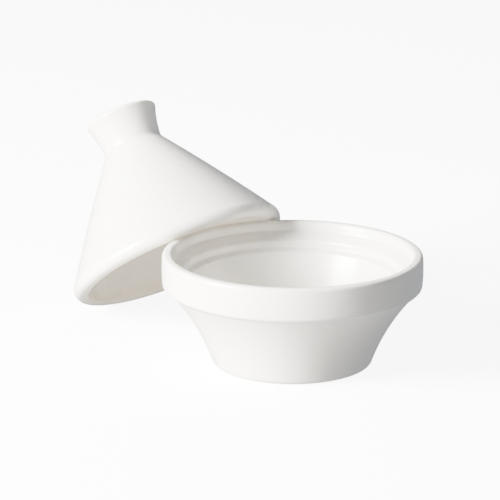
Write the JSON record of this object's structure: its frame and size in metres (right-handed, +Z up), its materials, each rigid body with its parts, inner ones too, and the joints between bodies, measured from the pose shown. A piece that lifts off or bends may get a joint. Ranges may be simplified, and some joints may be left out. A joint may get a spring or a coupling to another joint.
{
  "type": "mini tagine with lid",
  "caption": "Small white porcelain tagine: a flared serving bowl with an inner ledge, and its conical knobbed lid leaning against the rim.",
  "frame": {"origin": "centre of the bowl's foot ring, on the plane that the bowl and the leaning lid stand on", "axes": "+Z up along the bowl's axis; -Y towards the viewer; the lid leans at the back left, towards -X and +Y"},
  "size_m": [0.1636, 0.1733, 0.1026],
  "materials": {
    "bowl_porcelain": "white porcelain under clear gloss glaze",
    "lid_porcelain": "white porcelain under clear gloss glaze"
  },
  "bodies": {
    "bowl": {"bowl": "bowl_porcelain"},
    "lid": {"lid": "lid_porcelain"}
  },
  "joints": [
    {"name": "lid_lift", "type": "slide", "parent": "bowl", "child": "lid", "axis": [0, 0, 1], "range_m": [0, 0.09]}
  ]
}
